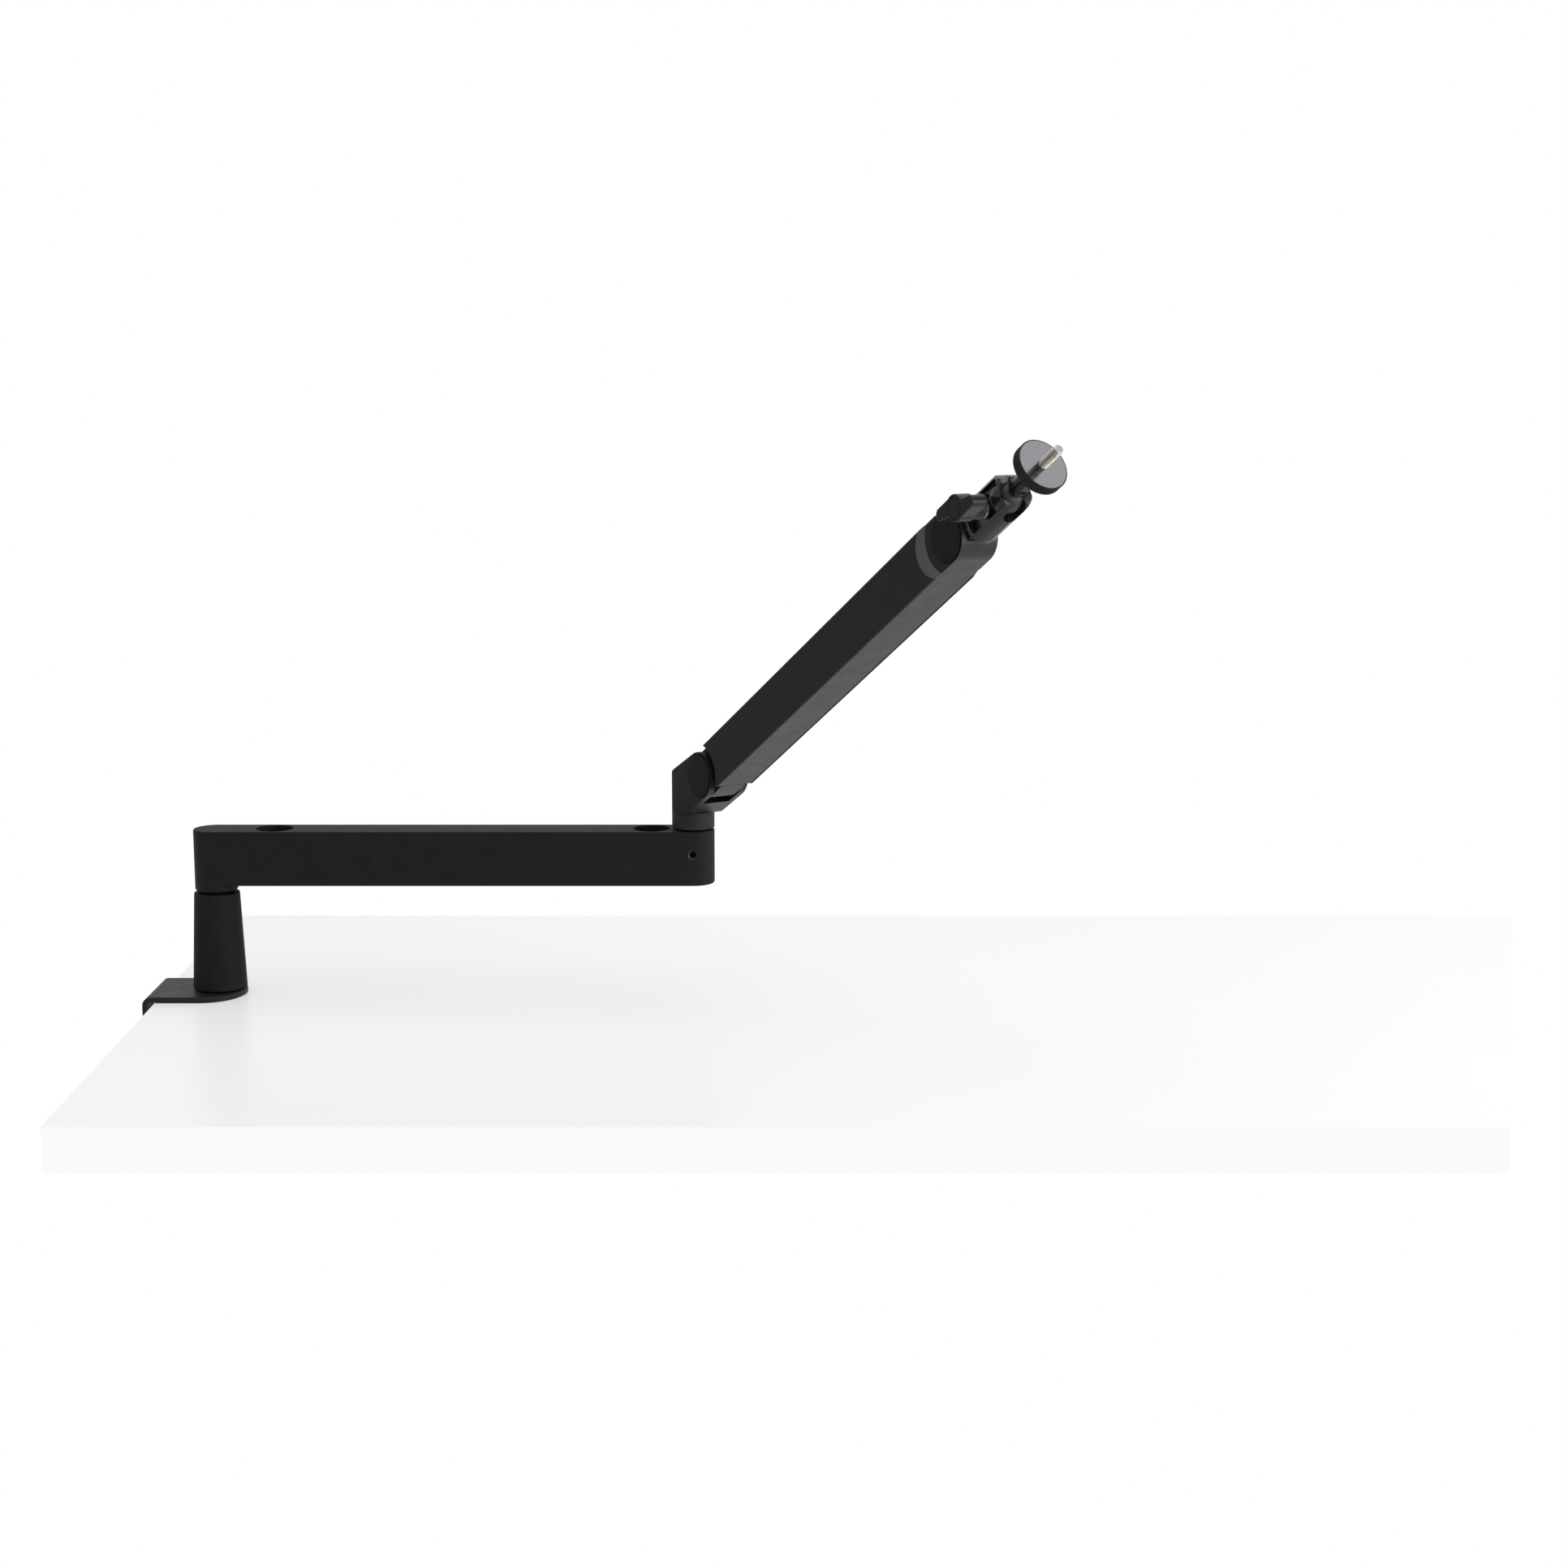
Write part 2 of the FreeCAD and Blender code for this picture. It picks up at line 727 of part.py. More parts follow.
def upper_arm_sleeve():
    outer = sleeve_solid(0, upper_span)
    wall = sleeve_half - sleeve_side_wall
    roof = sleeve_top - sleeve_top_wall
    inner = box(-cut_over, upper_span + cut_over, -wall, wall, -sleeve_under - cut_over, roof)
    inner = rounded(inner, sleeve_inner_round, along_x_at(roof))
    elbow_end = rod_y(sleeve_hollow_radius, -sleeve_width, sleeve_width)
    tip_end = rod_y(tip_hollow_radius, -sleeve_width, sleeve_width, upper_span - tip_hollow_setback)
    beyond = box(upper_span - tip_hollow_setback, upper_span + cut_over, -sleeve_width, sleeve_width,
                 -sleeve_width, sleeve_width)
    holes = [rod_z(sleeve_screw_radius + press_gap, 0, shank_top + sleeve_screw_bite, x)
             for x in sleeve_screw_places()]
    return outer.cut([inner, elbow_end, tip_end, beyond] + holes)


def sleeve_screw_places():
    elbow_places = [shank_start + shank_length * share for share in sleeve_screw_shares]
    tip_places = [upper_span - tip_shank_start() - shank_length * share for share in sleeve_screw_shares]
    return elbow_places + tip_places


def tip_shank_start():
    return tip_hollow_setback + tip_hollow_radius


def sleeve_screws():
    screws = []
    for x in sleeve_screw_places():
        shank = rod_z(sleeve_screw_radius, -shank_under, shank_top + sleeve_screw_bite, x)
        head = rod_z(sleeve_screw_head_radius, -shank_under - sleeve_screw_head_height, -shank_under, x)
        screws.append(fused(shank, head))
    return Part.makeCompound(screws)


def upper_arm_cover():
    half = sleeve_half - sleeve_side_wall - seat_gap
    stop = upper_span - upper_cover_stop
    plate = box(upper_cover_start, stop, -half, half, -sleeve_under, upper_cover_thick - sleeve_under)
    foot = upper_cover_thick - sleeve_under
    start, end = shank_start + shank_length, upper_span - tip_shank_start() - shank_length
    ribs = [box(start, end, min(y), max(y), foot, foot + upper_rib_height)
            for y in ((half, half - cover_rib_thick), (-half, cover_rib_thick - half))]
    return fused(plate, *ribs)


def shank(x0, x1):
    """Block that fills the upper part of the sleeve and leaves the cable channel free below."""
    body = box(x0, x1, -shank_half, shank_half, -shank_under, shank_top)
    return rounded(body, sleeve_inner_round, along_x_at(shank_top))


def arm_knuckle():
    end = rod_y(knuckle_radius, -knuckle_half, knuckle_half)
    front = box(0, upper_cover_start - seat_gap, -knuckle_half, knuckle_half, -knuckle_radius, knuckle_radius)
    front = front.common(rod_y(sleeve_hollow_radius - seat_gap, -knuckle_half, knuckle_half))
    cover_top = upper_cover_thick - sleeve_under
    neck = box(0, shank_start, -knuckle_half, knuckle_half, cover_top + seat_gap, shank_top - neck_drop)
    body = fused(end, front, neck, shank(shank_start, shank_start + shank_length))
    bore = rod_y(tilt_bolt_radius + knuckle_bush_wall + press_gap, -knuckle_width, knuckle_width)
    holes = [rod_z(sleeve_screw_radius + press_gap, -sleeve_width, sleeve_width, x)
             for x in sleeve_screw_places()[:len(sleeve_screw_shares)]]
    return body.cut([bore] + holes)


def knuckle_bush():
    outer = tilt_bolt_radius + knuckle_bush_wall
    return ring_y(outer, tilt_bolt_radius + running_gap, -knuckle_half, knuckle_half)


# Tip clevis and its hinge, drawn about the tip axis

def tip_bevel():
    """Slanting cutter between the round end's flat and the sleeve's hollow end."""
    inner = Part.Wire(Part.Circle(V(0, tip_half, 0), AXIS_Y, tip_bevel_radius).toShape())
    middle = V(-tip_hollow_setback, sleeve_half, 0)
    outer = Part.Wire(Part.Circle(middle, AXIS_Y, tip_hollow_radius).toShape())
    return Part.makeLoft([inner, outer], True, True)


def tip_flare():
    """Transition from the sleeve's section to the narrower round end."""
    solid = sleeve_solid(-tip_shank_start() - cut_over, 0)
    end = rod_y(tip_hollow_radius - tip_joint_gap, -sleeve_width, sleeve_width, -tip_hollow_setback)
    solid = solid.common(end)
    bevel = tip_bevel()
    front = box(-tip_bevel_radius, tip_bevel_radius, tip_half, sleeve_width, -sleeve_width, sleeve_width)
    front = front.common(rod_y(tip_bevel_radius, tip_half, sleeve_width))
    channel = box(-sleeve_width * 2, seat_gap - upper_cover_stop, -shank_half, shank_half,
                  -sleeve_width, -shank_under)
    return solid.cut([bevel, mirrored(bevel), front, mirrored(front), channel])


def neck_path(swing):
    """Room that the ball head's neck takes in the clevis at one tilt."""
    room = neck_half_height + neck_gap
    path = box(0, tip_radius * 2, -tip_inner, tip_inner, -room, room)
    path.rotate(V(0, 0, 0), AXIS_Y, -swing)
    return path


def tip_clevis():
    end = rod_y(tip_radius, -tip_half, tip_half)
    bridge = box(-tip_hollow_setback, 0, -tip_half, tip_half, -tip_radius, tip_radius)
    root = box(-tip_shank_start(), -tip_radius, -tip_half, tip_half, -shank_under, shank_top)
    root = root.common(rod_y(tip_hollow_radius, -tip_half, tip_half, -tip_hollow_setback))
    inner = shank(-tip_shank_start() - shank_length, -tip_hollow_setback)
    body = fused(end, bridge, root, tip_flare(), inner)
    slot = rod_y(tongue_radius + tip_slot_room, -tip_inner, tip_inner)
    paths = [neck_path(head_swing * step) for step in neck_path_shares]
    holes = [rod_z(sleeve_screw_radius + press_gap, -sleeve_width, sleeve_width, x - upper_span)
             for x in sleeve_screw_places()[len(sleeve_screw_shares):]]
    return body.cut([slot, hinge_pocket(tip_half, head_bolt_radius)] + paths + holes)


def tip_cap_far():
    return hinge_cap(tip_half)


def tip_cap_near():
    return mirrored(hinge_cap(tip_half))


def head_bolt():
    return hinge_bolt(tip_half, head_bolt_radius, head_thread_radius)


def head_nut():
    return hinge_nut(tip_half, head_thread_radius)


def head_washers():
    return hinge_washers(head_washer_radius, head_bolt_radius, tongue_half, tip_inner)


# Ball head, drawn about the tip axis with the ball in front

def socket_body():
    """Outer form of the split socket: round above and below, with a round nose in side view."""
    straight = head_half_height - head_half
    section = stadium(head_half, -straight, straight, head_foot, head_mouth)
    section.rotate(V(0, 0, 0), AXIS_Y, -90)
    section.translate(V(head_foot + head_mouth, 0, head_middle))
    side = box(head_foot, head_nose, -head_half, head_half, -head_under, head_upper)
    nose = rod_y(head_half_height, -head_half, head_half, head_nose, head_middle)
    return section.common(fused(side, nose))


def socket_cuts():
    """Ball seat, flared mouth and the drop notch on the under side."""
    middle = V(ball_distance, 0, ball_level)
    ball = Part.makeSphere(socket_radius, middle)
    depth = head_mouth + cut_over - ball_distance
    mouth = Part.makeCone(0, depth * math.tan(math.radians(mouth_spread)), depth, middle, AXIS_X)
    half = notch_width / 2
    notch_end = rod_z(half, -head_width, head_middle, notch_start + half)
    notch = box(notch_start + half, head_mouth + cut_over, -half, half, -head_width, head_middle)
    return [ball, mouth, notch_end, notch]


def head_block():
    body = socket_body()
    jaw_side = box(head_foot + head_base_thick, head_mouth + cut_over, -head_width, jaw_slit / 2,
                   -head_width, head_width)
    tongue = rod_y(tongue_radius, -tongue_half, tongue_half)
    neck = box(0, head_foot + head_base_thick, -tongue_half, tongue_half, -neck_half_height, neck_half_height)
    body = fused(body.cut(jaw_side), tongue, neck)
    pivot = rod_y(head_bolt_radius + running_gap, -head_width, head_width)
    insert = rod_y(jaw_nut_radius + press_gap, head_half - jaw_nut_depth, head_width, knob_axis, head_middle)
    screw = rod_y(knob_screw_radius + running_gap, -head_width, head_width, knob_axis, head_middle)
    return body.cut([pivot, insert, screw] + socket_cuts())


def clamp_jaw():
    jaw_side = box(head_foot + head_base_thick, head_mouth, -head_half, -jaw_slit / 2,
                   -head_width, head_width)
    body = socket_body().common(jaw_side)
    screw = rod_y(knob_screw_radius + running_gap, -head_width, head_width, knob_axis, head_middle)
    return body.cut([jaw_recess(), screw] + socket_cuts())


def jaw_recess():
    """Hollow in the jaw's outer face, with the ball's dome and the knob's boss standing in it."""
    half = head_half_height - rim_height
    floor = rim_depth - head_half
    nose = head_half_height - mouth_lip
    hollow = box(head_foot, head_mouth - mouth_lip, -head_width, floor,
                 head_middle - half, head_middle + half)
    front = fused(rod_y(nose, -head_width, floor, head_nose, head_middle),
                  box(head_foot, head_nose, -head_width, floor, -head_width, head_width))
    dome = Part.makeSphere(socket_radius + socket_wall, V(ball_distance, 0, ball_level))
    boss = rod_y(jaw_boss_radius, -head_half, head_half, knob_axis, head_middle)
    return hollow.common(front).cut([dome, boss])


def jaw_nut():
    nut = ring_y(jaw_nut_radius, knob_screw_radius + running_gap, head_half - jaw_nut_depth, head_half)
    nut.translate(V(knob_axis, 0, head_middle))
    return nut


def knob_washer():
    back = -head_half - knob_washer_thick
    washer = ring_y(jaw_boss_radius, knob_screw_radius + running_gap, back, -head_half)
    washer.translate(V(knob_axis, 0, head_middle))
    return washer


# Wing knob, drawn about its own axis

def on_knob_axis(shape):
    shape.translate(V(knob_axis, 0, head_middle))
    return shape


def wing():
    """Half of the knob's grip: straight outer edge, round end, inner edge that widens to the middle."""
    inner = wing_outer - wing_end_radius * 2
    middle, end = V(0, wing_outer, 0), V(-wing_reach, wing_outer, 0)
    nose = V(-wing_reach - wing_end_radius, wing_outer - wing_end_radius, 0)
    back, root = V(-wing_reach, inner, 0), V(0, -wing_root, 0)
    edges = [Part.LineSegment(middle, end).toShape(), Part.Arc(end, nose, back).toShape(),
             Part.LineSegment(back, root).toShape(), Part.LineSegment(root, middle).toShape()]
    plate = Part.Face(Part.Wire(edges)).extrude(V(0, 0, wing_depth))
    return rounded(plate, wing_round, at_height(wing_depth))


def t_knob():
    foot = -head_half - knob_washer_thick
    wing_back = foot - knob_neck_length
    face = wing_back - wing_depth
    neck = Part.makeCone(knob_neck_radius, knob_foot_radius, knob_neck_length, V(0, wing_back, 0), AXIS_Y)
    middle = rounded(rod_z(wing_radius, 0, wing_depth), wing_round, at_height(wing_depth))
    other_wing = wing()
    other_wing.rotate(V(0, 0, 0), AXIS_Z, 180)
    grip = fused(middle, wing(), other_wing)
    grip.rotate(V(0, 0, 0), AXIS_X, 90)
    grip.translate(V(0, wing_back, 0))
    inner_ring = knob_ring_radius - knob_ring_width
    ring = ring_y(knob_ring_radius, inner_ring, face - cut_over, face + knob_ring_depth)
    bore = rod_y(knob_screw_radius + press_gap, face + knob_screw_cover, foot + cut_over)
    return on_knob_axis(fused(neck, grip).cut([ring, bore]))


def knob_screw():
    foot = -head_half - knob_washer_thick
    face = foot - knob_neck_length - wing_depth
    return on_knob_axis(rod_y(knob_screw_radius, face + knob_screw_cover, head_half - knob_screw_spare))


# Ball, stem, stud and locking disc, drawn about the ball with the stud along +Z

def swivel_ball():
    return Part.makeSphere(ball_radius)


def ball_stem():
    shoulder = ball_radius + neck_length
    stem_top = shoulder + stem_length
    collar_end = stem_top + stem_collar_length
    body = turned([(0, 0), (neck_radius, 0), (neck_radius, shoulder), (stem_radius - stem_bevel, shoulder),
                   (stem_radius, shoulder + stem_bevel), (stem_radius, stem_top),
                   (stem_collar_radius, stem_top), (stem_collar_radius, collar_end), (0, collar_end)])
    flat = box(stem_flat / 2, stem_radius * 2, -stem_radius, stem_radius,
               shoulder + stem_flat_start, stem_top)
    tapped = rod_z(stud_radius + press_gap, collar_end - stud_grip, collar_end + cut_over)
    seat = Part.makeSphere(ball_radius + running_gap)
    return body.cut([seat, tapped, flat, flat.mirror(V(0, 0, 0), AXIS_X)])


def mic_stud():
    foot = disc_foot - disc_seat_gap - stud_grip
    tip = disc_top + stud_reach
    relief = stud_radius - stud_relief_depth
    return turned([(0, foot), (stud_radius, foot), (stud_radius, disc_top), (relief, disc_top),
                   (relief, disc_top + stud_relief_length), (stud_radius, disc_top + stud_relief_length),
                   (stud_radius, tip - stud_chamfer), (stud_radius - stud_chamfer, tip), (0, tip)])


def lock_disc():
    bore = stud_radius + running_gap
    face_seat = disc_top - face_thick
    return turned([(bore, disc_foot), (disc_radius - disc_back_taper, disc_foot),
                   (disc_radius, disc_foot + disc_back_taper), (disc_radius, disc_top - disc_edge_round),
                   (disc_radius - disc_edge_round, disc_top), (face_radius + press_gap, disc_top),
                   (face_radius + press_gap, face_seat), (bore, face_seat)])


def disc_face():
    return ring_z(face_radius, stud_radius + running_gap, disc_top - face_thick, disc_top)


# Every piece with the frame that it is drawn in

tilt_frame = elbow_frame.multiply(FreeCAD.Placement(V(snout_reach, 0, tilt_height), FreeCAD.Rotation()))

pieces = (
    (base_frame, (clamp_bracket, desk_pad, clamp_nut, base_post, post_screw, riser, riser_bush_upper,
                  riser_bush_lower, pressure_pad, pressure_plate, clamp_screw, clamp_knob, lower_arm_shell,
                  lower_arm_cover, base_spindle, base_washer, elbow_bush_upper, elbow_bush_lower,
                  elbow_set_screw)),
    (elbow_frame, (elbow_washer, elbow_collar, elbow_spindle, spindle_retainer, retainer_screw, elbow_head)),
    (tilt_frame, (elbow_cap_near, elbow_cap_far, tilt_bolt, tilt_nut, tilt_washers)),
    (arm_frame, (upper_arm_sleeve, upper_arm_cover, arm_knuckle, knuckle_bush, sleeve_screws)),
    (head_frame, (tip_clevis, tip_cap_near, tip_cap_far, head_bolt, head_nut, head_washers, head_block,
                  clamp_jaw, jaw_nut, knob_washer, t_knob, knob_screw)),
    (ball_frame, (swivel_ball, ball_stem, mic_stud, lock_disc, disc_face)),
)

os.makedirs("parts", exist_ok=True)
for frame, makers in pieces:
    for make in makers:
        piece = make()
        piece.Placement = frame.multiply(piece.Placement)
        piece.exportStep("parts/" + make.__name__ + ".step")
        print(make.__name__, len(piece.Solids), piece.isValid(), round(piece.Volume, 2))
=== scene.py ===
import json
import math

import bpy
from mathutils import Matrix, Vector


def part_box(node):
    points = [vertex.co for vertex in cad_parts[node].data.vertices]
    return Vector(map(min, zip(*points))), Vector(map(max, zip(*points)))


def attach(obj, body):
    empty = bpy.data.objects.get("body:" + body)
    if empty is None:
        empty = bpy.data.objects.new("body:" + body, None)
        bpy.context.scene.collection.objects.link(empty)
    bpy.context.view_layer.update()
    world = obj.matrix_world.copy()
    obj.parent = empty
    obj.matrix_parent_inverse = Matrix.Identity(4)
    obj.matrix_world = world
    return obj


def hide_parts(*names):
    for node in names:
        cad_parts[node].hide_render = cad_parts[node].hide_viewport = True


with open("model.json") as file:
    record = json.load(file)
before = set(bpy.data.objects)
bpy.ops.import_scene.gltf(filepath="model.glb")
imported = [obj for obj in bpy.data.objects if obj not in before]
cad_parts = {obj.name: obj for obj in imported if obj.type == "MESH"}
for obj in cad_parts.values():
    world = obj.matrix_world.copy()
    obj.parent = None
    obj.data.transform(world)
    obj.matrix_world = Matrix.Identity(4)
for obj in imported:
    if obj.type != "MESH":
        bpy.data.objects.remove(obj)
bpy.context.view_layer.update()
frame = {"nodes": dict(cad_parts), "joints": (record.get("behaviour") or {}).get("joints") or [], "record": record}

MM = 0.001

# Camera, fitted to the photo's edges
CAMERA_PLACE = Vector((0.41624, -1.8073, 0.46668))
CAMERA_PITCH = math.radians(9.72)
CAMERA_LENS = 57.76
CAMERA_SENSOR = 36.0
CAMERA_NEAR = 0.05
CAMERA_FAR = 50

# Lamps: place, target, size and power
LAMPS = {
    "top_light": ((0.3, 0.0, 1.7), (0.35, 0, 0), (2.2, 1.8), 10),
    "right_light": ((1.9, -0.75, 0.5), (0.4, -0.1, 0.12), (2.6, 1.1), 32),
}

# Surroundings: their colour, and their strength as plain light
WORLD_WHITE = (1, 1, 1, 1)
DIFFUSE_LIGHT = 0.8

# Desk top under the clamp, wider at the back
DESK_FRONT = -0.326
DESK_BACK = 0.2616
DESK_LEFT_FRONT = -0.0386
DESK_LEFT_BACK = -0.0456
DESK_RIGHT_FRONT = 0.861
DESK_RIGHT_BACK = 1.0284
DESK_THICK = 0.0295

# Desk's laminate, with the pale tones of its top and of its front edge
LAMINATE_DARK = (0.775, 0.775, 0.762)
LAMINATE_LIGHT = (0.795, 0.795, 0.783)
LAMINATE_CLOUD = 3.0
LAMINATE_ROUGH = (0.27, 0.33)
LAMINATE_SPECULAR = 0.35
TOP_PALE = (0.89, 0.89, 0.875, 1)
TOP_PALE_SHARE = 0.5
EDGE_PALE = (0.955, 0.955, 0.945, 1)
EDGE_PALE_SHARE = 1

# Coats by slot or use: name, dark shade, light shade, roughness, grain's scale, grain's relief, specular level
COATS = {
    "bracket_steel": ("bracket_coat", (0.0105, 0.0098, 0.01), (0.0135, 0.0128, 0.013), 0.46, 4200, 0.2, 0.12),
    "riser_coat": ("riser_coat", (0.0095, 0.0089, 0.0091), (0.0122, 0.0115, 0.0118), 0.58, 3800, 0.22, 0.04),
    # Painted light: the elbow's collar is lighter than the arm's paint, for the light falling on it from the right
    "collar_painted_light": ("collar_painted_light", (0.0125, 0.0117, 0.012), (0.0158, 0.0149, 0.0152), 0.55, 3800, 0.3, 0.14),
    "pad_rubber": ("pad_rubber", (0.012, 0.012, 0.012), (0.02, 0.02, 0.02), 0.75, 2600, 0.4, 0.2),
    "arm_paint": ("arm_coat", (0.0068, 0.0062, 0.0064), (0.0092, 0.0085, 0.0088), 0.62, 3800, 0.22, 0.1),
    "cover_plastic": ("cover_plastic", (0.0105, 0.0094, 0.0086), (0.0135, 0.0121, 0.0112), 0.42, 3000, 0.25, 0.34),
    "head_metal": ("head_satin", (0.0075, 0.0068, 0.0066), (0.0105, 0.0096, 0.0093), 0.27, 5200, 0.08, 0.3),
    "cap_plastic": ("cap_plastic", (0.0046, 0.0043, 0.0044), (0.0059, 0.0055, 0.0056), 0.55, 5200, 0.08, 0.05),
    "knob_plastic": ("knob_plastic", (0.0062, 0.0053, 0.0052), (0.008, 0.0069, 0.0068), 0.4, 3600, 0.2, 0.28),
    "knob_face": ("knob_grain", (0.0075, 0.0064, 0.0063), (0.0098, 0.0085, 0.0084), 0.48, 2200, 0.5, 0.07),
    "bearing_plastic": ("bearing_plastic", (0.03, 0.03, 0.03), (0.045, 0.045, 0.045), 0.4, 3000, 0.1, 0.4),
    # Painted shade: near black with hardly any sheen, on parts seen in narrow gaps and in the set screw's hole
    "gap_painted_shade": ("gap_painted_shade", (0.0022, 0.002, 0.002), (0.003, 0.0028, 0.0028), 0.65, 3000, 0.1, 0.02),
    # Painted highlight: a lighter coat round the set screw hole's rim
    "screw_rim_painted_highlight": ("screw_rim_painted_highlight", (0.022, 0.021, 0.021), (0.03, 0.029, 0.029), 0.4, 3800, 0.2, 0.3),
    # Painted light: a much lighter copy of the head's satin, for the light the ball catches from below
    "ball_painted_light": ("ball_painted_light", (0.024, 0.0225, 0.0235), (0.03, 0.028, 0.029), 0.42, 5200, 0.06, 0.25),
    "disc_body": ("disc_anodised", (0.0055, 0.005, 0.0051), (0.0075, 0.0068, 0.007), 0.36, 5000, 0.08, 0.12),
    # Painted light: a much lighter coat on the tip's slanting faces, for the light from the right
    "tip_bevel": ("bevel_painted_light", (0.06, 0.058, 0.061), (0.069, 0.067, 0.07), 0.5, 3800, 0.2, 0.1),
}

# Metals by slot or use: name, dark shade, light shade, roughness, stretch of the lines, lines' relief
METALS = {
    "plain_steel": ("turned_steel", (0.42, 0.42, 0.43), (0.56, 0.56, 0.57), 0.32, (0.15, 0.15, 1), 0.3),
    "black_steel": ("black_steel", (0.02, 0.019, 0.019), (0.032, 0.031, 0.031), 0.3, (0.3, 0.3, 1), 0.1),
    "zinc_steel": ("zinc_steel", (0.56, 0.56, 0.58), (0.68, 0.68, 0.7), 0.3, (0.4, 0.4, 1), 0.2),
    # Painted shade: a near-black copy of the zinc for the clamp screw's thread roots
    "zinc_root_shade": ("zinc_root_shade", (0.1, 0.1, 0.1), (0.16, 0.16, 0.16), 0.35, (0.4, 0.4, 1), 0.2),
    "black_zinc": ("black_zinc", (0.035, 0.034, 0.034), (0.055, 0.054, 0.054), 0.34, (0.4, 0.4, 1), 0.15),
    "stud_nickel": ("stud_nickel", (0.38, 0.345, 0.31), (0.48, 0.445, 0.41), 0.25, (0.5, 0.5, 1), 0.1),
    # Painted shade: a dark copy of the nickel for the stud's thread roots
    "stud_root_shade": ("stud_root_shade", (0.06, 0.05, 0.043), (0.1, 0.085, 0.075), 0.3, (0.5, 0.5, 1), 0.1),
    "disc_polish": ("disc_polish", (0.285, 0.28, 0.298), (0.32, 0.315, 0.333), 0.12, (1, 1, 1), 0.02),
}

# Noise behind the finishes
NOISE_DETAIL = 2.0
NOISE_LOW = 0.3
NOISE_HIGH = 0.7
EDGE_SAMPLES = 4
COAT_CLOUD = 90.0
COAT_CLOUD_DETAIL = 3.0
COAT_ROUGH_SPREAD = 0.04
COAT_RELIEF = 0.05 * MM
COAT_EDGE = 0.35 * MM
METAL_LINES = 1400.0
METAL_ROUGH_BELOW = 0.03
METAL_ROUGH_ABOVE = 0.05
METAL_RELIEF = 0.01 * MM
METAL_EDGE = 0.12 * MM

# Nodes with a finish of their own, or with painted light or shade: the ball and the elbow's collar painted
# lighter, the parts in narrow gaps and the set screw in its hole painted near black as shade
WHOLE_FINISHES = {
    "swivel_ball": "ball_painted_light",
    "jaw_nut": "black_zinc",
    "riser": "riser_coat",
    "elbow_collar": "collar_painted_light",
    "base_post": "gap_painted_shade",
    "base_washer": "gap_painted_shade",
    "riser_bush_upper": "gap_painted_shade",
    "elbow_washer": "gap_painted_shade",
    "elbow_bush_upper": "gap_painted_shade",
    "elbow_set_screw": "gap_painted_shade",
}

# Faces with a finish of their own or with painted light, told by the cosine between a face's normal and a
# direction
FLAT_COSINE = 0.95
UNDER_COSINE = 0.45
BEVEL_ASIDE_LOW = 0.8
BEVEL_ASIDE_HIGH = 0.99
BEVEL_FORWARD = 0.1
TIP_RIM_ASIDE = 0.5

# Reach of the painted highlight round the set screw hole's rim, in widths of the screw
SCREW_RIM_REACH = 0.75

# Threads
STUD_PITCH = 1.27 * MM
CLAMP_PITCH = 1.5 * MM
THREAD_DEPTH_SHARE = 0.55
THREAD_ROOT_FLAT = 0.15
THREAD_FLANK = 0.7
# Faces deeper than this share of the thread's depth, from the crest, get the painted root shade
ROOT_SHADE_SHARE = 0.3
THREAD_COLUMNS = 40
THREAD_ROWS = 8
THREAD_SHARP = 40
ROD_CHAMFER = 0.8 * MM
FOOT_GAP = 0.1 * MM

# Locking disc and its knurl
KNURL_RIDGES = 84
KNURL_COLUMNS = 4
KNURL_DEPTH = 0.42 * MM
KNURL_TAPER = 1.4 * MM
DISC_LIP = 0.7 * MM
DISC_LIP_STEP = 0.05 * MM
DISC_CHAMFER_HEIGHT = 0.35 * MM
DISC_CHAMFER_WIDTH = 0.3 * MM
DISC_BORE_GAP = 0.05 * MM
DISC_SEAT_GAP = 0.02 * MM
DISC_SHARP = 25


# Places read from the frame

def joint_line(name):
    """Point and unit direction of a joint's axis."""
    row = next(row for row in frame["joints"] if row["name"] == name)
    return Vector(row.get("pos_m", (0, 0, 0))), Vector(row["axis"]).normalized()


def mesh_of(node):
    return frame["nodes"][node].data


def along(node, line):
    """Lowest and highest place of a node along a line, and its largest radius about it."""
    point, way = line
    offsets = [vertex.co - point for vertex in mesh_of(node).vertices]
    heights = [offset.dot(way) for offset in offsets]
    radius = max((offset - way * height).length for offset, height in zip(offsets, heights))
    return min(heights), max(heights), radius


def upright_to(line):
    """Matrix that carries a piece drawn about +Z onto a line."""
    point, way = line
    return Matrix.Translation(point) @ way.to_track_quat("Z", "Y").to_matrix().to_4x4()


# Materials

def fresh_material(name):
    material = bpy.data.materials.new(name)
    material.use_nodes = True
    tree = material.node_tree
    shader = tree.nodes["Principled BSDF"]
    place = tree.nodes.new("ShaderNodeTexCoord")
    return material, tree, shader, place.outputs["Object"]


def noise(tree, place, scale, detail=NOISE_DETAIL, stretch=None):
    """Noise over the piece, drawn out along an axis where stretch is given."""
    if stretch is not None:
        mapping = tree.nodes.new("ShaderNodeMapping")
        mapping.inputs["Scale"].default_value = stretch
        tree.links.new(place, mapping.inputs["Vector"])
        place = mapping.outputs["Vector"]
    texture = tree.nodes.new("ShaderNodeTexNoise")
    texture.inputs["Scale"].default_value = scale
    texture.inputs["Detail"].default_value = detail
    tree.links.new(place, texture.inputs["Vector"])
    return texture.outputs["Fac"]


